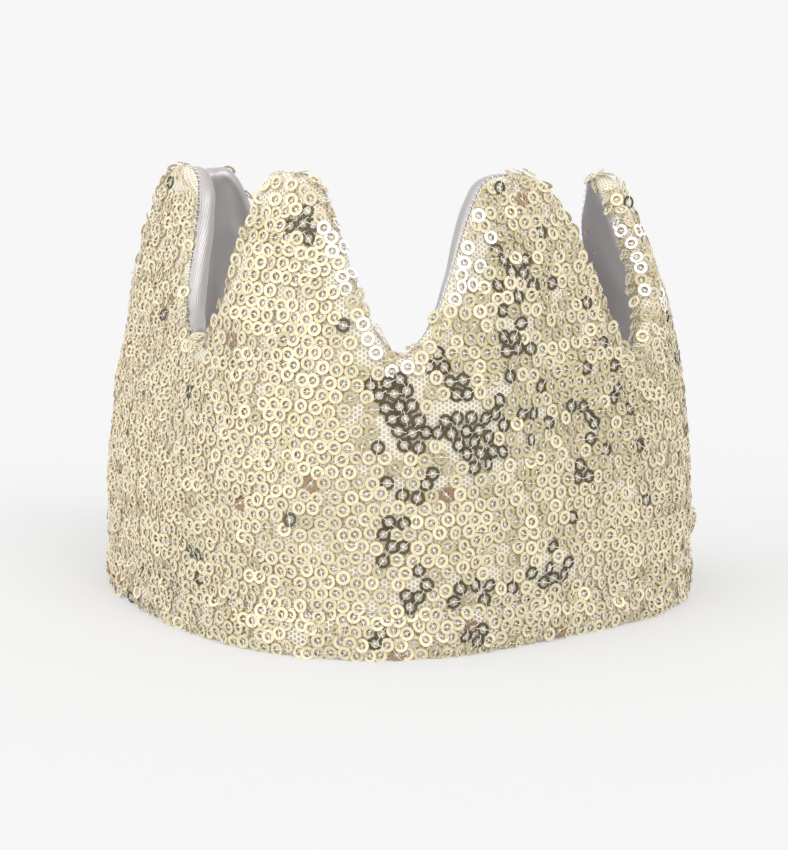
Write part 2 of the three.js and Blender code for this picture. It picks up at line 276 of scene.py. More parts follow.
def in_scene(name, data):
    thing = bpy.data.objects.new(name, data)
    bpy.context.scene.collection.objects.link(thing)
    return thing


def new_object(name, points, faces, material):
    """A smooth piece from points in mm."""
    mesh = bpy.data.meshes.new(name)
    mesh.from_pydata((np.asarray(points) * MM).tolist(), [], faces)
    mesh.validate()
    mesh.shade_smooth()
    mesh.materials.append(material)
    return in_scene(name, mesh)


UV_MM = 100.0  # one unit of the flat coordinates


def join(piece, node=None, back=False):
    """Hides the CAD node that a piece stands for and gives the piece its body; a back piece only
    has its placement baked.
    """
    if node:
        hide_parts(node)
    if back:
        blend_back(piece)
    else:
        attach(piece, "shell")


def grid_faces(rows, columns, around=False):
    """Faces of a grid; `around` joins the last row to the first."""
    faces = []
    for r in range(rows - 1):
        for c in range(columns - 1):
            a = r * columns + c
            faces.append((a, a + 1, a + columns + 1, a + columns))
    if around:
        last = (rows - 1) * columns
        faces += [(last + c, last + c + 1, c + 1, c) for c in range(columns - 1)]
    return faces


def lay_flat(piece, flat):
    """Gives each point its place on the cloth in mm, for the weave."""
    layer = piece.data.uv_layers.new(name="cloth")
    corner = np.empty(len(piece.data.loops), dtype=np.int32)
    piece.data.loops.foreach_get("vertex_index", corner)
    uv = flat.reshape(-1, 2)[corner].astype(np.float32).ravel() / UV_MM
    layer.data.foreach_set("uv", uv)


def sheet_object(name, points, flat, material):
    """A sheet from a grid of points (rows up, columns along)."""
    rows, columns = points.shape[:2]
    piece = new_object(name, points.reshape(-1, 3), grid_faces(rows, columns), material)
    lay_flat(piece, flat)
    solid = piece.modifiers.new("thickness", "SOLIDIFY")
    solid.thickness = CLOTH * MM
    solid.offset = -1
    return piece


def closed_tube(name, section, columns, from_arc, to_arc, material):
    """A closed strip swept round the outline. `section(arc)` gives the section there as heights
    and depths, going once round it."""
    arcs = np.linspace(from_arc, to_arc, columns)
    sections = [section(arc) for arc in arcs]
    points = np.array([place(arc, z, depth) for arc, (z, depth) in zip(arcs, sections)])
    points = points.transpose(1, 0, 2)
    rows = points.shape[0]
    step = np.linalg.norm(np.diff(points[:, 0], axis=0), axis=1)
    length = np.concatenate([[0], np.cumsum(step)])
    faces = grid_faces(rows, columns, True) + end_faces(rows, columns)
    piece = new_object(name, points.reshape(-1, 3), faces, material)
    lay_flat(piece, np.stack(np.meshgrid(arcs, length), axis=-1))
    return piece


def end_faces(rows, columns):
    """The two faces that close a strip's ends."""
    return [tuple(r * columns for r in range(rows)),
            tuple(r * columns + columns - 1 for r in reversed(range(rows)))]


# ---- Materials

# The tones a sequin can have. DARK is a painted dark reflection and WHITE a painted highlight.
PALE, OLIVE, DARK, AMBER, WHITE = 0.1, 0.3, 0.5, 0.7, 0.9


class Nodes:
    """Short names for building a material's nodes."""

    def __init__(self, name):
        self.material = bpy.data.materials.new(name)
        self.material.use_nodes = True
        self.tree = self.material.node_tree
        self.shader = self.tree.nodes["Principled BSDF"]

    def add(self, kind, settings=None, **inputs):
        node = self.tree.nodes.new(kind)
        for key, value in (settings or {}).items():
            setattr(node, key, value)
        for key, value in inputs.items():
            self.put(node.inputs[int(key[1:]) if key[1:].isdigit() else key], value)
        return node

    def put(self, socket, value):
        if isinstance(value, bpy.types.NodeSocket):
            self.tree.links.new(value, socket)
        else:
            socket.default_value = value

    def math(self, operation, a, b=0.0, c=0.0):
        return self.add("ShaderNodeMath", {"operation": operation}, _0=a, _1=b, _2=c).outputs[0]

    def along(self, at, way):
        """How far a place lies along a direction."""
        dot = self.add("ShaderNodeVectorMath", {"operation": "DOT_PRODUCT"}, _0=at, _1=way)
        return dot.outputs["Value"]

    def mix(self, factor, a, b):
        node = self.add("ShaderNodeMix", {"data_type": "RGBA"}, _0=factor, _6=a, _7=b)
        return node.outputs[2]

    def noise(self, vector, scale, detail=2.0):
        node = self.add("ShaderNodeTexNoise", Vector=vector, Scale=scale, Detail=detail)
        return node.outputs[0]

    def smooth_step(self, value, start, end):
        """0 at `start` and 1 at `end`."""
        node = self.add("ShaderNodeMapRange", {"interpolation_type": "SMOOTHSTEP"}, Value=value,
                        _1=start, _2=end, _3=0.0, _4=1.0)
        return node.outputs[0]

    def place_on_piece(self):
        return self.add("ShaderNodeTexCoord").outputs["Object"]

    def bump(self, height, strength, distance):
        node = self.add("ShaderNodeBump", Height=height, Strength=strength, Distance=distance)
        self.put(self.shader.inputs["Normal"], node.outputs[0])

    def set(self, **values):
        for key, value in values.items():
            self.put(self.shader.inputs[key.replace("_", " ")], value)
        return self.material


def cloth_place(n):
    """The place on the cloth in mm, from the sheet's flat coordinates."""
    uv = n.add("ShaderNodeUVMap", {"uv_map": "cloth"}).outputs[0]
    scaled = n.add("ShaderNodeVectorMath", {"operation": "SCALE"}, Vector=uv, Scale=UV_MM)
    return scaled.outputs[0]


def rgb(red, green, blue):
    """A colour given as it looks on screen, from 0 to 255."""
    return tuple(((c / 255 + 0.055) / 1.055) ** 2.4 for c in (red, green, blue)) + (1.0,)


def net_material(name, backing, deeper_shade):
    """Fine white net with six-sided holes over cloth. The cloth in the holes is its own colour
    with painted shade added, darker still in noisy patches of painted shade.
    """
    n = Nodes(name)
    at = cloth_place(n)
    total = 0.0
    for degrees in (0, 60, 120):
        way = (math.cos(math.radians(degrees)), math.sin(math.radians(degrees)), 0)
        turn = n.math("MULTIPLY", n.along(at, way), 2 * math.pi / (NET_CELL * 0.866))
        total = n.math("ADD", n.math("COSINE", turn), total)
    mesh = n.smooth_step(total, 0.1, -0.75)
    # painted shade: the cloth in the holes is darkened in noisy patches
    ground = n.mix(n.noise(at, 0.06), backing, deeper_shade)
    colour = n.mix(n.math("MULTIPLY", mesh, 0.95), ground, rgb(238, 233, 219))
    n.bump(mesh, 0.6, 0.0003)
    return n.set(Base_Color=colour, Roughness=0.7, Sheen_Weight=0.25)


def sequin_material():
    """Thin metallised plastic. Each sequin carries its own tone: most are pale champagne, and
    some are olive or amber. The nearly black ones are painted dark reflections and the bright
    white ones painted highlights."""
    n = Nodes("sequin")
    tone = n.add("ShaderNodeAttribute", {"attribute_name": "tone"}).outputs["Fac"]
    shade = n.add("ShaderNodeAttribute", {"attribute_name": "shade"}).outputs["Fac"]
    ramp = n.add("ShaderNodeValToRGB", Fac=tone)
    ramp.color_ramp.interpolation = "CONSTANT"
    # the 0.4 stop, nearly black, is painted dark reflection; the 0.8 stop, bright white, is
    # painted highlight
    colours = ((0.0, rgb(226, 216, 182)), (0.2, rgb(196, 187, 148)), (0.4, rgb(90, 79, 50)),
               (0.6, rgb(150, 120, 92)), (0.8, rgb(255, 254, 250)))
    stops = ramp.color_ramp.elements
    while len(stops) < len(colours):
        stops.new(0.5)
    for stop, (position, colour) in zip(stops, colours):
        stop.position = position
        stop.color = colour
    brightness = n.math("ADD", n.math("MULTIPLY", shade, 0.2), 0.9)
    own = n.add("ShaderNodeHueSaturation", Value=brightness, Color=ramp.outputs[0]).outputs[0]
    smear = n.noise(n.place_on_piece(), 900.0)
    rough = n.math("ADD", n.math("MULTIPLY", smear, 0.2), 0.36)
    n.bump(smear, 0.15, 0.00005)
    return n.set(Base_Color=own, Metallic=0.3, Roughness=rough, Coat_Weight=0.1,
                 Coat_Roughness=0.2)


def sequin_rim_material():
    """The sloping edges: amber, or nearly black on a dark sequin as part of its painted dark
    reflection.
    """
    n = Nodes("sequin_rim")
    amber = n.mix(n.noise(n.place_on_piece(), 300.0), rgb(200, 172, 128), rgb(158, 128, 88))
    tone = n.add("ShaderNodeAttribute", {"attribute_name": "tone"}).outputs["Fac"]
    dark = n.math("LESS_THAN", n.math("ABSOLUTE", n.math("SUBTRACT", tone, DARK)), 0.05)
    colour = n.mix(dark, amber, rgb(44, 35, 20))
    return n.set(Base_Color=colour, Metallic=0.4, Roughness=0.35)


def darker(colour, share):
    return tuple(c * share for c in colour[:3]) + (1.0,)


def thread_material():
    """Twisted white thread."""
    n = Nodes("thread")
    colour = rgb(254, 252, 246)
    twist = n.add("ShaderNodeTexWave", Vector=n.place_on_piece(), Scale=2500.0,
                  Distortion=1.5).outputs["Fac"]
    shaded = n.mix(twist, darker(colour, 0.8), colour)
    n.bump(twist, 0.4, 0.00005)
    return n.set(Base_Color=shaded, Roughness=0.6, Sheen_Weight=0.3)


def satin_material():
    """Satin: long shiny floats over a fine slanted weave, with soft shallow wrinkles. The floats
    and the wrinkle crests are painted lighter: painted sheen.
    """
    n = Nodes("satin")
    at = cloth_place(n)
    slant = n.along(at, (0.8, 0.6, 0))
    weave = n.math("SINE", n.math("MULTIPLY", slant, 2 * math.pi / TWILL))
    cross = n.noise(at, 2.2, 4.0)
    drawn_out = n.add("ShaderNodeVectorMath", {"operation": "MULTIPLY"}, _0=at,
                      _1=(1.0, 0.35, 1.0))
    wrinkles = n.noise(drawn_out.outputs["Vector"], 0.085, 1.0)
    height = n.math("ADD", n.math("MULTIPLY", weave, 0.5), cross)
    height = n.math("ADD", height, n.math("MULTIPLY", wrinkles, 9.0))
    # painted sheen: lighter colour along the wrinkle crests
    shine = n.smooth_step(wrinkles, 0.3, 0.7)
    ground = n.mix(shine, rgb(164, 159, 158), rgb(182, 178, 177))
    # painted sheen: the floats are painted lighter than the weave between them
    float_threads = n.math("MULTIPLY", n.math("ADD", weave, 1.0), 0.17)
    colour = n.mix(float_threads, ground, rgb(206, 204, 204))
    n.bump(height, 0.3, 0.00012)
    rough = n.math("ADD", n.math("MULTIPLY", cross, 0.16), 0.26)
    return n.set(Base_Color=colour, Roughness=rough, Metallic=0.5, Anisotropic=0.5,
                 Sheen_Weight=0.35, Sheen_Roughness=0.4)


def wadding_material():
    """Cream matted fibres."""
    n = Nodes("wadding_fibres")
    fibres = n.noise(n.place_on_piece(), 700.0, 8.0)
    colour = n.mix(fibres, rgb(226, 218, 200), rgb(246, 241, 228))
    n.bump(fibres, 0.8, 0.0006)
    return n.set(Base_Color=colour, Roughness=0.95, Sheen_Weight=0.4)


def ribbed_material(name, colour, ribs):
    """Woven tape or elastic with fine ribs across it."""
    n = Nodes(name)
    wave = n.add("ShaderNodeTexWave", {"bands_direction": "Z"}, Vector=n.place_on_piece(),
                 Scale=ribs).outputs["Fac"]
    shaded = n.mix(wave, darker(colour, 0.82), colour)
    n.bump(wave, 0.5, 0.0002)
    return n.set(Base_Color=shaded, Roughness=0.75)


# Both backing colours hold painted shade as well as the cloth's own colour.
NET = net_material("net_over_cream", rgb(204, 194, 166), rgb(172, 161, 134))
NET_ON_SATIN = net_material("net_over_satin", rgb(184, 175, 154), rgb(150, 142, 126))
SEQUIN = sequin_material()
SEQUIN_RIM = sequin_rim_material()
THREAD = thread_material()
SATIN = satin_material()
WADDING = wadding_material()
ELASTIC = ribbed_material("elastic_ribs", rgb(238, 238, 236), 220.0)
LABEL = ribbed_material("label_tape", rgb(246, 246, 244), 420.0)


# ---- Cloth

NET_COLUMNS = 650
SATIN_COLUMNS = 620
WADDING_COLUMNS = 330
WADDING_RADIUS = RIM - SKIN - GAP - 0.1
# How far over the edge the net meets the satin, in degrees from the outer face, at places
# round the outline
SEAM_ARCS = np.array([-187, -172, -158, -120, -87, -72, -58, -44, -30, -8, 6, 20, 42, 58, 70, 83,
                      96, 123, 140, 156, 172, 192.0])
SEAM_TURNS = np.radians([95, 80, 70, 75, 80, 45, 30, 48, 85, 75, 80, 100, 120, 62, 48, 75,
                         120, 118, 165, 160, 110, 95.0])


def over_edge(rim, out, radius, turn):
    """Arcs, heights and depths on a layer `radius` from the wall's middle: turn 0 is the outer
    face, pi the inner face, and between them is the way over the edge."""
    up = radius * np.sin(turn)
    return (rim[..., 0] + out[..., 0] * up, rim[..., 1] + out[..., 1] * up,
            RIM - radius * np.cos(turn))


def seam_turn(arc):
    """How far over the edge the net comes to meet the satin. The seam rolls to the front in
    some places and to the inside in others."""
    return np.interp(arc, SEAM_ARCS, SEAM_TURNS) + 0.08 * dimples(arc, 0)


def make_net_shell():
    """The sequinned net, from the groove over the hem band up and over the edge."""
    rim, out = rim_at(np.linspace(0, 1, NET_COLUMNS))
    seam = seam_turn(rim[:, 0])
    rows = []
    flats = []
    for part in np.linspace(0, 1, 64):
        z = BAND_HEIGHT + 0.05 + (rim[:, 1] - BAND_HEIGHT - 0.05) * part
        soft = np.clip((1 - part) * 12, 0, 1)
        rows.append(place(rim[:, 0], z, net_depth(rim[:, 0], z) * soft + 0.1 * (1 - soft)))
        flats.append(np.stack([rim[:, 0], z], axis=-1))
    for part in np.linspace(0, 1, 13)[1:]:
        turn = seam * part
        radius = RIM - 0.1 - 0.2 * (part > 0.95)  # tucked under the seam
        rows.append(place(*over_edge(rim, out, radius, turn)))
        flats.append(rim + out * RIM * turn[:, None])
    points = np.array(rows)
    piece = sheet_object("sequinned_net_shell", points, np.array(flats), NET)
    join(piece, "sequin_net_shell")


def make_lining():
    """The satin, from inside the hem up and over the edge to the net."""
    rim, out = rim_at(np.linspace(0, 1, SATIN_COLUMNS))
    rows = []
    flats = []
    for part in np.linspace(0, 1, 56):
        z = 0.8 + (rim[:, 1] - 0.8) * part
        soft = np.clip((1 - part) * 8, 0, 1) * np.clip(part * 8, 0, 1)
        crease = 1 - np.sqrt(satin_folds(rim[:, 0], z) ** 2 + 0.01) * 1.7
        fold = np.maximum(1.5 * crease + 0.35 * satin_creases(rim[:, 0], z), -0.7)
        rows.append(place(rim[:, 0], z, WALL_THICKNESS - 0.1 + soft * (0.2 + fold)))
        flats.append(np.stack([rim[:, 0], z], axis=-1))
    seam = seam_turn(rim[:, 0])
    pinch = 0.14 * satin_creases(rim[:, 0] * 1.6, rim[:, 1]) - 0.05
    for part in np.linspace(0, 1, 15)[1:]:
        turn = np.pi - (np.pi - seam) * part
        radius = RIM + (pinch - 0.25 * (part > 0.95))
        rows.append(place(*over_edge(rim, out, radius, turn)))
        flats.append(rim + out * RIM * (np.pi - turn)[:, None])
    points = np.array(rows)[::-1]
    piece = sheet_object("satin_lining_cloth", points, np.array(flats)[::-1], SATIN)
    join(piece, "satin_lining")


def band_section(arc):
    """The hem band: net folded over the lower edge, rounded above and flat below."""
    up = np.linspace(0.0, 1.0, 13)
    outer_z = BAND_HEIGHT * up
    outer = band_depth(arc, outer_z)
    inner_z = outer_z[::-1]
    inner = np.full_like(inner_z, BAND_THICKNESS) - 0.15
    return np.concatenate([outer_z, inner_z]), np.concatenate([outer, inner])


def facing_section(arc):
    """The hem facing: turned-in satin between the band and the lining."""
    up = np.linspace(0.0, 1.0, 7)
    z = 0.8 + (BAND_HEIGHT - 0.9) * up
    front = BAND_THICKNESS + 0.25 + 0.3 * (2 * up - 1) ** 4
    back = WALL_THICKNESS - SKIN - GAP - 0.15 - 0.3 * (2 * up - 1) ** 4
    wobble = 0.08 * band_wobble(arc, z)
    return np.concatenate([z, z[::-1]]), np.concatenate([front + wobble, back[::-1]])


def make_hem():
    band = closed_tube("hem_band_cloth", band_section, 520, SHELL_START, SHELL_END, NET_ON_SATIN)
    join(band, "hem_band")
    facing = closed_tube("hem_facing_cloth", facing_section, 260, SHELL_START, SHELL_END, SATIN)
    join(facing, "hem_facing")


def make_wadding():
    """The pad: a crowned closed form that fills the wall, thin at its foot."""
    rim, out = rim_at(np.linspace(0, 1, WADDING_COLUMNS))
    loops = []

    def add_loop(part, side):
        z = BAND_HEIGHT + 0.4 + (rim[:, 1] - BAND_HEIGHT - 0.4) * part
        swell = np.clip(part * 10, 0.2, 1)
        lump = 0.1 * slump(rim[:, 0], z) if side < 0 and part < 1 else 0
        loops.append(place(rim[:, 0], z, RIM + side * WADDING_RADIUS * swell - lump))

    for part in np.linspace(0, 1, 24):
        add_loop(part, -1)
    for degrees in (20, 45, 70, 90, 110, 135, 160):
        loops.append(place(*over_edge(rim, out, WADDING_RADIUS, math.radians(degrees))))
    for part in np.linspace(1, 0, 24):
        add_loop(part, 1)
    points = np.array(loops)
    rows, columns = points.shape[:2]
    faces = grid_faces(rows, columns, True) + end_faces(rows, columns)
    piece = new_object("wadding_pad", points.reshape(-1, 3), faces, WADDING)
    join(piece, "wadding")


# ---- Sequins

def surface_frames(surface, arc, z):
    """Points and outward normals of a surface over (arc, z), in mm."""
    point = surface(arc, z)
    along = surface(arc + 0.25, z) - surface(arc - 0.25, z)
    up = surface(arc, z + 0.25) - surface(arc, z - 0.25)
    normal = np.cross(along, up)
    normal /= np.linalg.norm(normal, axis=1, keepdims=True)
    return point, normal


def rows_over(from_arc, to_arc, from_z, to_z, along, up, jitter):
    """Staggered rows of places over (arc, z), a little uneven: the sequins are sewn on in
    zigzag chains."""
    places = []
    for row, z in enumerate(np.arange(from_z, to_z, up)):
        arcs = np.arange(from_arc + (row % 2) * along / 2, to_arc, along)
        places.append(np.stack([arcs, np.full_like(arcs, z)], axis=-1))
    places = np.concatenate(places)
    places[:, 0] += 1.1 * row_warp(places[:, 0], places[:, 1])
    places[:, 1] += 0.9 * row_warp(places[:, 1] + 400, places[:, 0])
    places += random.normal(0, jitter, places.shape)
    return places[:, 0], places[:, 1]


def thinned(point, nearest):
    """Which points to keep so that none is nearer than its own `nearest` to one before it."""
    nearest = np.broadcast_to(nearest, len(point))
    cells = {}
    kept = []
    key = np.floor(point / nearest.max()).astype(int)
    around = [(i, j, k) for i in (-1, 0, 1) for j in (-1, 0, 1) for k in (-1, 0, 1)]
    for n, (x, y, z) in enumerate(key.tolist()):
        near = [m for i, j, k in around for m in cells.get((x + i, y + j, z + k), ())]
        if all(np.sum((point[n] - point[m]) ** 2) > nearest[n] ** 2 for m in near):
            cells.setdefault((x, y, z), []).append(n)
            kept.append(n)
    return np.array(kept)


def turned(normal, degrees):
    """Normals tipped by random small angles, and two directions across each."""
    tip = random.normal(0, math.radians(degrees), (len(normal), 3))
    tilted = normal + tip
    tilted /= np.linalg.norm(tilted, axis=1, keepdims=True)
    side = np.cross(tilted, random.normal(0, 1, (len(normal), 3)))
    side /= np.linalg.norm(side, axis=1, keepdims=True)
    return tilted, side, np.cross(tilted, side)


def ring_template():
    """A flat ring with sloping edges. The first and third of the four faces in each segment
    are the edges, and the first two of the four points are at the hole."""
    profile = ((SEQUIN_HOLE, 0.0), (SEQUIN_HOLE + SEQUIN_EDGE, SEQUIN_THICKNESS),
               (SEQUIN_RADIUS - SEQUIN_EDGE, SEQUIN_THICKNESS), (SEQUIN_RADIUS, 0.0))
    turn = np.arange(SEQUIN_SIDES) * 2 * np.pi / SEQUIN_SIDES
    points = np.array([[(r * np.cos(t), r * np.sin(t), h) for r, h in profile] for t in turn])
    faces = []
    for s in range(SEQUIN_SIDES):
        a, b = 4 * s, 4 * ((s + 1) % SEQUIN_SIDES)
        for p in range(4):
            q = (p + 1) % 4
            faces.append((a + p, a + q, b + q, b + p))
    return points.reshape(-1, 3), np.array(faces)[:, ::-1]


def copies(name, template, faces, point, axes, material, values=None):
    """One mesh of a template repeated at points, with axes (side, other side, out)."""
    count, size = len(point), template.shape[-2]
    offset = sum(template[..., i, None] * axes[i][:, None, :] for i in range(3))
    placed = point[:, None, :] + offset
    placed[..., 2] = np.maximum(placed[..., 2], 0.0)  # nothing goes below the table
    sides = faces.shape[1]
    every = (faces[None] + (np.arange(count) * size)[:, None, None]).reshape(-1, sides)
    mesh = bpy.data.meshes.new(name)
    mesh.vertices.add(count * size)
    mesh.vertices.foreach_set("co", (placed * MM).astype(np.float32).ravel())
    mesh.loops.add(every.size)
    mesh.loops.foreach_set("vertex_index", every.astype(np.int32).ravel())
    mesh.polygons.add(len(every))
    mesh.polygons.foreach_set("loop_start", np.arange(0, every.size, sides, dtype=np.int32))
    mesh.update(calc_edges=True)
    mesh.shade_smooth()
    for key, value in (values or {}).items():
        layer = mesh.attributes.new(key, "FLOAT", "POINT")
        layer.data.foreach_set("value", np.repeat(value, size).astype(np.float32))
    mesh.materials.append(material)
    return in_scene(name, mesh)


def patch(arc, z, centre, size):
    """Near 1 over most of a patch, falling off to 0 outside it."""
    away = ((arc - centre[0]) / size[0]) ** 2 + ((z - centre[1]) / size[1]) ** 2
    return np.exp(-away ** 2)


DARK_PATCHES = (
    # place (arc, z), size (along, up), share of dark sequins (painted dark reflections)
    ((49, 64), (21, 13), 1.0), ((61, 57), (16, 12), 0.95), ((38, 47), (7, 7), 0.6),
    ((78, 60), (9, 10), 0.65), ((75, 76), (5, 12), 0.65), ((78, 97), (9, 9), 0.45),
    ((103, 58), (13, 13), 0.3), ((37, 29), (4, 10), 0.9), ((44, 19), (5, 6), 0.75),
    ((63, 16), (13, 3.4), 0.85), ((86, 21), (8, 4), 0.85), ((98, 43), (5, 4), 0.5),
    ((62, 6), (7, 3), 0.5), ((36, 6), (6, 3), 0.6), ((10, 112), (6, 7), 1.0),
    ((25, 88), (3, 9), 0.6), ((-25, 18), (5, 6), 0.6), ((-10, 42), (3, 3), 0.7),
    ((-29, 67), (3, 3), 0.4), ((-95, 98), (4, 12), 0.2), ((150, 80), (6, 14), 0.2),
    ((-150, 60), (12, 14), 0.4), ((-130, 30), (10, 8), 0.3), ((172, 40), (10, 14), 0.4),
    ((250, 14), (16, 7), 0.4))


DARK_AND_OLIVE_TO = 150.0  # where the share of dark and olive sequins falls off again


def tones(arc, z):
    """Which tone each sequin has. Left of the front crease nearly all are pale. Right of it many
    are nearly black, painted dark reflections, and many olive; the bright white ones are painted
    highlights."""
    chance = random.uniform(0, 1, len(arc))
    again = random.uniform(0, 1, len(arc))
    chains = ripples(11, 12, 9, 22, 2.0)(arc, z)
    past_crease = 1 / (1 + np.exp(-(arc - CREASE_AT) / 0.8))
    dark_and_olive_side = past_crease / (1 + np.exp((arc - DARK_AND_OLIVE_TO) / 8))
    upper = 1 / (1 + np.exp(-(z - 46) / 2))
    dark = 0.003 + 0.22 * dark_and_olive_side * upper * np.clip(chains, 0, 1)
    for centre, size, share in DARK_PATCHES:
        here = share * patch(arc, z, centre, size) * (0.95 + 0.2 * chains)
        dark = np.maximum(dark, here * past_crease if centre[0] > CREASE_AT else here)
    olive = 0.03 + dark_and_olive_side * (0.05 + 0.5 * upper * np.clip(0.7 - chains, 0, 1))
    olive = np.maximum(olive, 0.8 * patch(arc, z, (100, 62), (26, 20)))
    tone = np.full(len(arc), PALE)
    tone[again < olive] = OLIVE
    tone[again > 0.993] = AMBER
    edge = edge_height(np.clip(arc, SHELL_START, SHELL_END)) - z
    # Bright white sequins in patches near the edge: painted highlights
    bright = 0.6 * patch(arc, edge, (37, 2), (11, 5))
    bright = np.maximum(bright, 0.7 * patch(arc, z, (20, 106), (6, 18)) * (edge < 5))
    bright = np.maximum(bright, 0.75 * patch(arc, z, (65, 100), (10, 16)) * (edge < 16))
    bright = np.maximum(bright, 0.25 * patch(arc, z, (150, 95), (14, 22)))
    tone[random.uniform(0, 1, len(arc)) < bright] = WHITE
    tone[(chance < dark) & (tone != WHITE)] = DARK
    return tone


CHAIN_THREAD = 0.11  # radius of the thread that holds the sequins


def stitch_template():
    """Thread from the net up through the hole, over the ring and down again: a thin
    three-sided tube."""
    way = ((0.0, -0.35), (0.45, 0.22), (1.1, 0.40), (1.85, 0.32), (2.25, -0.2))
    points = []
    for r, h in way:
        for k in range(3):
            t = 2 * math.pi * k / 3
            points.append((r, CHAIN_THREAD * math.cos(t), h + CHAIN_THREAD * math.sin(t)))
    faces = []
    for s in range(len(way) - 1):
        for k in range(3):
            a, b = 3 * s + k, 3 * s + (k + 1) % 3
            faces.append((a, b, b + 3, a + 3))
    return np.array(points), np.array(faces)


def knot_template():
    """The thread showing in a sequin's hole: a small low dome."""
    turn = np.arange(6) * np.pi / 3
    points = [(0.34 * math.cos(t), 0.34 * math.sin(t), -0.15) for t in turn]
    points.append((0.0, 0.0, 0.05))
    return np.array(points), np.array([(k, (k + 1) % 6, 6) for k in range(6)])


def sew_sequins(name, point, normal, arc, z, lift, tilt, back=False):
    """Ring sequins and their thread at points of a surface."""
    out, side, across = turned(normal, tilt)
    height = lift + random.uniform(0, 0.45, len(arc))
    point = point + normal * height[:, None]
    values = {"tone": tones(arc, z), "shade": random.uniform(0, 1, len(arc))}
    template, faces = ring_template()
    template = np.repeat(template[None], len(arc), axis=0)
    in_hole = np.arange(template.shape[1]) % 4 < 2
    dark = (values["tone"] == DARK)[:, None, None]
    template[:, in_hole, :2] *= np.where(dark, DARK_HOLE, 1.0)
    template[:, ~in_hole, :2] *= np.where(dark, DARK_RING, 1.0)
    rings = copies(f"{name}_sequins", template, faces, point, (side, across, out), SEQUIN, values)
    rings.data.materials.append(SEQUIN_RIM)
    rim_face = np.zeros(len(rings.data.polygons), dtype=np.int32)
    rim_face[0::4] = 1
    rim_face[2::4] = 1
    rings.data.polygons.foreach_set("material_index", rim_face)
    sharpen(rings.data)
    chain = random.normal(0, 0.35, len(arc))
    pieces = [rings]
    stitch = stitch_template()
    for part, turn in (("a", 0.0), ("b", math.pi)):
        along = side * np.cos(chain + turn)[:, None] + across * np.sin(chain + turn)[:, None]
        axes = (along, np.cross(out, along), out)
        pieces.append(copies(f"{name}_thread_{part}", *stitch, point, axes, THREAD))
    pieces.append(copies(f"{name}_knots", *knot_template(), point, (side, across, out), THREAD))
    for piece in pieces:
        join(piece, back=back)


def sharpen(mesh):
    """Keeps the ring's four corners sharp in the shading."""
    ends = np.empty(len(mesh.edges) * 2, dtype=np.int32)
    mesh.edges.foreach_get("vertices", ends)
    ends = ends.reshape(-1, 2) % 4
    layer = mesh.attributes.new("sharp_edge", "BOOLEAN", "EDGE")
    layer.data.foreach_set("value", ends[:, 0] == ends[:, 1])


def net_surface(arc, z):
    return place(arc, z, net_depth(arc, z))


def band_surface(arc, z):
    return place(arc, z, band_depth(arc, z))


def edge_sequins():
    """Places for sequins along the rounded edge, as far over it as the net goes."""
    points, normals, arcs, heights = [], [], [], []
    for turn in np.radians((14, 66, 118, 160)):
        fraction = np.arange(0.006, 0.994, 3.4 / EDGE_LENGTH)
        fraction = fraction + random.normal(0, 0.35, len(fraction)) / EDGE_LENGTH
        rim, out = rim_at(fraction)
        own = turn + random.normal(0, 0.12, len(fraction))
        reached = own < seam_turn(rim[:, 0]) - 0.1
        rim, out, own = rim[reached], out[reached], own[reached]
        point = place(*over_edge(rim, out, RIM, own))
        normal = place(*over_edge(rim, out, RIM + 0.5, own)) - point
        points.append(point)
        normals.append(normal / np.linalg.norm(normal, axis=1, keepdims=True))
        arcs.append(rim[:, 0])
        heights.append(edge_height(rim[:, 0]))
    return tuple(np.concatenate(part) for part in (points, normals, arcs, heights))


def make_shell_sequins():
    """Sequins over the net, sparser at two places on the front right."""
    arc, z = rows_over(SHELL_START + 1.5, SHELL_END - 1.5, NET_BOTTOM + 0.5,
                       PEAK_HEIGHT.max(), SEQUIN_SPACING, SEQUIN_SPACING * 0.86, 0.34)
    slope = edge_height(arc + 0.5) - edge_height(arc - 0.5)
    below_edge = z < edge_height(arc) - 3.2 * np.hypot(1, slope)
    on = below_edge & (arc < SHELL_END - 1) & (arc > SHELL_START + 1)
    arc, z = arc[on], z[on]
    face = surface_frames(net_surface, arc, z) + (arc, z)
    edge = edge_sequins()
    edge[1][:] += random.normal(0, 0.22, edge[1].shape)
    point, normal, arc, z = (np.concatenate(pair) for pair in zip(edge, face))
    sparse = 2 * patch(arc, z, (56, 58), (28, 18)) + 1.4 * patch(arc, z, (62, 18), (34, 9))
    sparse = np.clip(sparse, 0, 1)
    kept = thinned(point, 2.6 + 0.45 * sparse)
    point, normal, arc, z = point[kept], normal[kept], arc[kept], z[kept]
    bounds = np.quantile(arc, (0.25, 0.5, 0.75))
    panel = np.searchsorted(bounds, arc)
    for number, name in enumerate(("left_back", "left_front", "right_front", "right_back")):
        mine = panel == number
        sew_sequins(name, point[mine], normal[mine], arc[mine], z[mine], 0.35, 7.0)


def make_band_sequins():
    """Sequins over the hem band."""
    arc, z = rows_over(SHELL_START + 1.5, SHELL_END - 1.5, 1.7, BAND_HEIGHT - 0.2, 3.3, 3.0, 0.5)
    z = np.clip(z, 1.5, BAND_HEIGHT - 0.4)
    point, normal = surface_frames(band_surface, arc, z)
    kept = thinned(point, 2.2)
    sew_sequins("hem_band", point[kept], normal[kept], arc[kept], z[kept], 0.25, 12.0)


# ---- The gathered back


def blend_back(piece):
    """The casing is sewn to the wall at both side seams, and stretches between them. Here the
    piece's placement is only baked into its points."""
    near = max(place(CASING_START, 0, 0)[1], place(CASING_END, 0, 0)[1]) * MM
    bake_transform(piece)


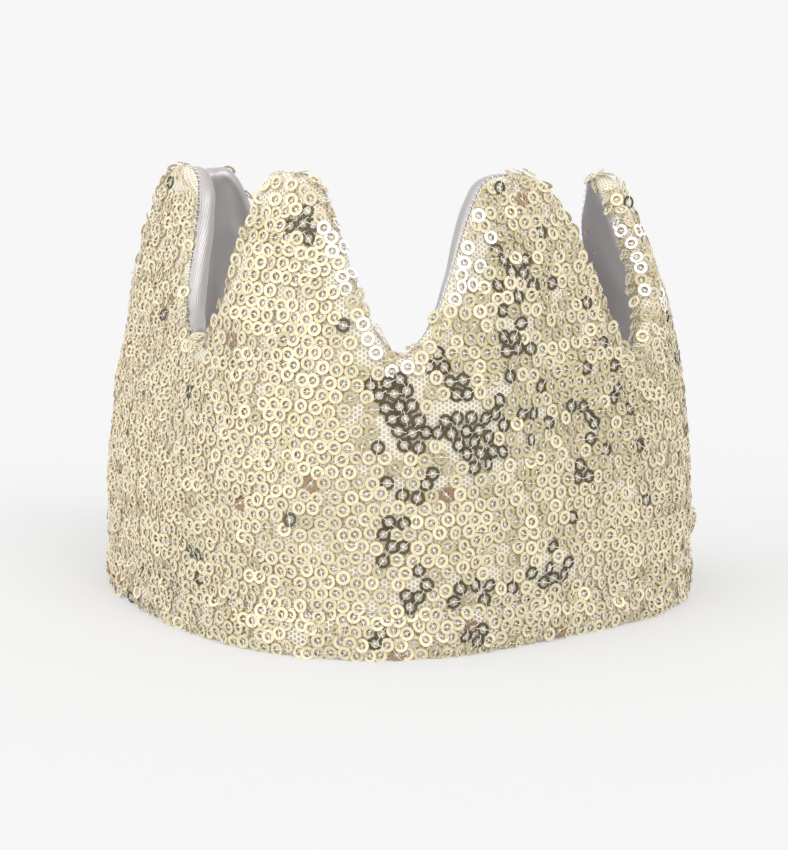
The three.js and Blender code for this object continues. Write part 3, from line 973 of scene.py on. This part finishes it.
def casing_profile(turn, outside):
    """Height and the share of standing out at a turn from the bottom (-1) to the top (1)."""
    z = CASING_HEIGHT / 2 * (1 + np.sin(turn * np.pi / 2))
    share = np.cos(turn * np.pi / 2) ** 0.5
    return np.clip(z, 0.15 if outside else 0.8, CASING_HEIGHT), share


def casing_surface(arc, z):
    """The outside of the casing at heights."""
    share = np.sqrt(np.clip(1 - (2 * z / CASING_HEIGHT - 1) ** 2, 0, 1)) ** 0.5
    return place(arc, z, CASING_DEPTH + 0.55 - share * (1.95 + casing_stand(arc, z)))


def make_casing():
    """The gathered casing: net outside and satin inside, meeting along top and bottom."""
    arcs = np.linspace(CASING_START, CASING_END, 620)
    for outside in (True, False):
        rows = []
        flats = []
        for turn in np.linspace(-1, 1, 44):
            z, share = casing_profile(turn, outside)
            stand = casing_stand(arcs, z)
            if outside:
                depth = CASING_DEPTH + 0.55 - share * (1.95 + stand)
            else:
                depth = CASING_DEPTH + 0.65 + share * (1.65 + 0.45 * stand)
            rows.append(place(arcs, z, depth))
            flats.append(np.stack([arcs * 1.9, np.full_like(arcs, z)], axis=-1))
        points, flat = np.array(rows), np.array(flats)
        if not outside:
            points, flat = points[::-1], flat[::-1]
        name = "back_casing_net_cloth" if outside else "back_casing_satin_cloth"
        piece = sheet_object(name, points, flat, NET_ON_SATIN if outside else SATIN)
        join(piece, "back_casing_net" if outside else "back_casing_satin", back=True)


def make_casing_sequins():
    arc, z = rows_over(CASING_START + 1, CASING_END - 1, 1.8, CASING_HEIGHT - 1.2, 3.1, 2.9, 0.4)
    z = np.clip(z, 1.6, CASING_HEIGHT - 1.4)
    point, normal = surface_frames(casing_surface, arc, z)
    kept = thinned(point, 2.5)
    sew_sequins("back_casing", point[kept], normal[kept], arc[kept], z[kept], 0.25, 10.0,
                back=True)


def elastic_section(arc):
    """Flat elastic, crimped along its length."""
    z = ELASTIC_FROM + ELASTIC_WIDTH * np.linspace(0, 1, 10)
    crimp = 0.18 * np.sin(arc * 2.2)
    front = np.full_like(z, CASING_DEPTH - 0.5) + crimp
    back = np.full_like(z, CASING_DEPTH + 0.6) + crimp
    return np.concatenate([z, z[::-1]]), np.concatenate([front, back])


def make_elastic():
    strip = closed_tube("elastic_strip", elastic_section, 300, CASING_START, CASING_END, ELASTIC)
    join(strip, "back_elastic", back=True)


# ---- Seams and loose threads

def thread_tubes(name, paths, radius, node=None, back=False, sides=5):
    """Thin tubes along short lists of points, in one piece."""
    points = []
    faces = []
    for path in paths:
        path = np.asarray(path, float)
        along = np.gradient(path, axis=0)
        along /= np.linalg.norm(along, axis=1, keepdims=True) + 1e-9
        first = np.cross(along, (0.31, 0.52, 0.79))
        first /= np.linalg.norm(first, axis=1, keepdims=True) + 1e-9
        second = np.cross(along, first)
        start = len(points)
        for p, a, b in zip(path, first, second):
            for k in range(sides):
                t = 2 * math.pi * k / sides
                points.append(p + radius * (math.cos(t) * a + math.sin(t) * b))
        for s in range(len(path) - 1):
            for k in range(sides):
                a, b = start + s * sides + k, start + s * sides + (k + 1) % sides
                faces.append((a, b, b + sides, a + sides))
        faces.append(tuple(start + k for k in reversed(range(sides))))
        faces.append(tuple(start + (len(path) - 1) * sides + k for k in range(sides)))
    join(new_object(name, points, faces, THREAD), node, back)


# One stitch over the seam: which end of it, turn past the seam, and height off the cloth
EDGE_STITCH = ((0, -0.26, -0.15), (0, -0.12, 0.12), (1, 0.1, 0.14), (1, 0.26, -0.15))


def make_edge_stitches():
    """Small slanted stitches over the corner where the net meets the satin."""
    paths = []
    for f in np.arange(0.012, 0.988, 2.1 / EDGE_LENGTH):
        rim, out = rim_at(np.array([f, f + 0.5 / EDGE_LENGTH]))
        seam = seam_turn(rim[0, 0])
        path = []
        for end, turn, stand in EDGE_STITCH:
            path.append(place(*over_edge(rim[end], out[end], RIM + stand, seam + turn)))
        paths.append(path)
    thread_tubes("edge_stitches", paths, 0.11, "edge_thread")


def make_hem_stitches():
    """A line of stitches in the groove above the hem band."""
    paths = []
    for arc in np.arange(SHELL_START + 1.5, SHELL_END - 3, 3.0):
        steps = np.linspace(0, 2.3, 5)
        sink = np.array([0.9, 0.55, 0.5, 0.55, 0.9])
        paths.append(place(arc + steps, np.full(5, BAND_HEIGHT + 0.45), sink))
    thread_tubes("hem_stitches", paths, 0.13, "hem_thread")


def make_side_seams():
    """Close zigzag stitches up each side seam."""
    for name, middle in (("side_seam_left", SHELL_START + 2),
                         ("side_seam_right", SHELL_END - 2)):
        zigzag = []
        for i, z in enumerate(np.arange(NET_BOTTOM + 0.5, CASING_HEIGHT - 1, 0.4)):
            arc = middle + (0.7 if i % 2 else -0.7)
            zigzag.append(place(arc, z, net_depth(middle, z) - 0.45))
        thread_tubes(f"{name}_stitches", [zigzag], 0.16, name)


def make_casing_stitches():
    """The two rows of gathering stitches that hold the elastic's channel."""
    paths = []
    for z in CHANNEL_AT:
        for arc in np.arange(CASING_START + 1, CASING_END - 3, 2.6):
            steps = arc + np.linspace(0, 1.9, 5)
            height = np.full(5, z)
            sunk = np.array([0.3, -0.15, -0.2, -0.15, 0.3])
            surface = casing_surface(steps, height)
            inner = place(steps, height, CASING_DEPTH)
            way = surface - inner
            way /= np.linalg.norm(way, axis=1, keepdims=True)
            paths.append(surface - way * sunk[:, None])
    thread_tubes("casing_stitches", paths, 0.13, back=True)


FRAYS = 120


def make_frays():
    """Fine loose thread ends at the edge and the hem."""
    paths = []
    for _ in range(FRAYS):
        if random.uniform() < 0.55:
            rim, out = rim_at(np.array([random.uniform(0.02, 0.98)]))
            arc, z, depth = over_edge(rim[0], out[0], RIM, math.radians(random.uniform(15, 60)))
        else:
            arc = random.uniform(SHELL_START + 2, SHELL_END - 2)
            z, depth = random.uniform(1.0, 3.0), 0.2
        start = place(arc, z, depth)
        outward = place(arc, z, depth - 1) - start
        way = outward + random.normal(0, 0.7, 3)
        way /= np.linalg.norm(way)
        bend = random.normal(0, 0.5, 3)
        length = random.uniform(0.8, 2.8)
        steps = np.linspace(0, 1, 6)[:, None]
        path = start + way * steps * length + bend * steps ** 2 * length * 0.6
        path[:, 2] = np.maximum(path[:, 2], 0.15)
        paths.append(path)
    thread_tubes("frayed_threads", paths, 0.05, sides=3)


# ---- Making it

make_net_shell()
make_lining()
make_hem()
make_wadding()
make_shell_sequins()
make_band_sequins()
make_casing()
make_casing_sequins()
make_elastic()
make_edge_stitches()
make_hem_stitches()
make_side_seams()
make_casing_stitches()
make_frays()

# The label's shape is the CAD's own; only its material is new
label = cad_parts["care_label"]
label.data.materials.clear()
label.data.materials.append(LABEL)


# ---- Studio, in metres

BACKDROP = 0.93
FLOOR = 0.4
FLOOR_GLOW = 0.357  # evens the floor out to the backdrop's brightness
FLOOR_HALF = 60.0
KEY = 1.1
LEFT = 1.0
TOP = 0.45
VIEW_AZIMUTH = math.radians(25)
CAMERA_AWAY = 0.687
CAMERA_HEIGHT = 0.16175
CAMERA_PITCH = math.radians(9.38)
LENS = 102.9


def make_floor():
    mesh = bpy.data.meshes.new("floor")
    corners = ((-1, -1), (1, -1), (1, 1), (-1, 1))
    mesh.from_pydata([(x * FLOOR_HALF, y * FLOOR_HALF, 0) for x, y in corners],
                     [], [(0, 1, 2, 3)])
    floor = in_scene("floor", mesh)
    n = Nodes("floor_paper")
    mesh.materials.append(n.set(Base_Color=(FLOOR, FLOOR, FLOOR, 1), Roughness=1.0,
                                Specular_IOR_Level=0.0, Emission_Color=(1, 1, 1, 1),
                                Emission_Strength=FLOOR_GLOW))


def make_sun(name, place_m, strength, degrees):
    """A wide, even, far-off light."""
    light = bpy.data.lights.new(name, "SUN")
    light.energy = strength
    light.angle = math.radians(degrees)
    lamp = in_scene(name, light)
    lamp.location = place_m
    lamp.rotation_euler = (-Vector(place_m)).to_track_quat("-Z", "Y").to_euler()


def from_view(right, back, up):
    """A place given from the camera's side: to its right, away from it, and up, in metres."""
    return (right * math.cos(VIEW_AZIMUTH) - back * math.sin(VIEW_AZIMUTH),
            right * math.sin(VIEW_AZIMUTH) + back * math.cos(VIEW_AZIMUTH), up)


def make_studio():
    make_floor()
    world = bpy.data.worlds.new("studio")
    world.use_nodes = True
    world.node_tree.nodes["Background"].inputs[0].default_value = (1, 1, 1, 1)
    world.node_tree.nodes["Background"].inputs[1].default_value = BACKDROP
    bpy.context.scene.world = world
    make_sun("key", from_view(0.55, -0.8, 0.9), KEY, 35)
    make_sun("left", from_view(-1.0, -0.8, 0.55), LEFT, 50)
    make_sun("top", from_view(-0.3, -0.2, 1.0), TOP, 60)


def make_camera():
    data = bpy.data.cameras.new("camera")
    data.lens = LENS
    data.sensor_width = 36
    data.clip_start = 0.01
    camera = in_scene("camera", data)
    centre = (OUTLINE_CENTRE[0] * MM, OUTLINE_CENTRE[1] * MM)
    x, y, _ = from_view(0, -CAMERA_AWAY, 0)
    camera.location = (x + centre[0], y + centre[1], CAMERA_HEIGHT)
    camera.rotation_euler = (math.pi / 2 - CAMERA_PITCH, 0, VIEW_AZIMUTH)
    bpy.context.scene.camera = camera


make_studio()
make_camera()
bpy.context.scene.view_settings.view_transform = "Standard"
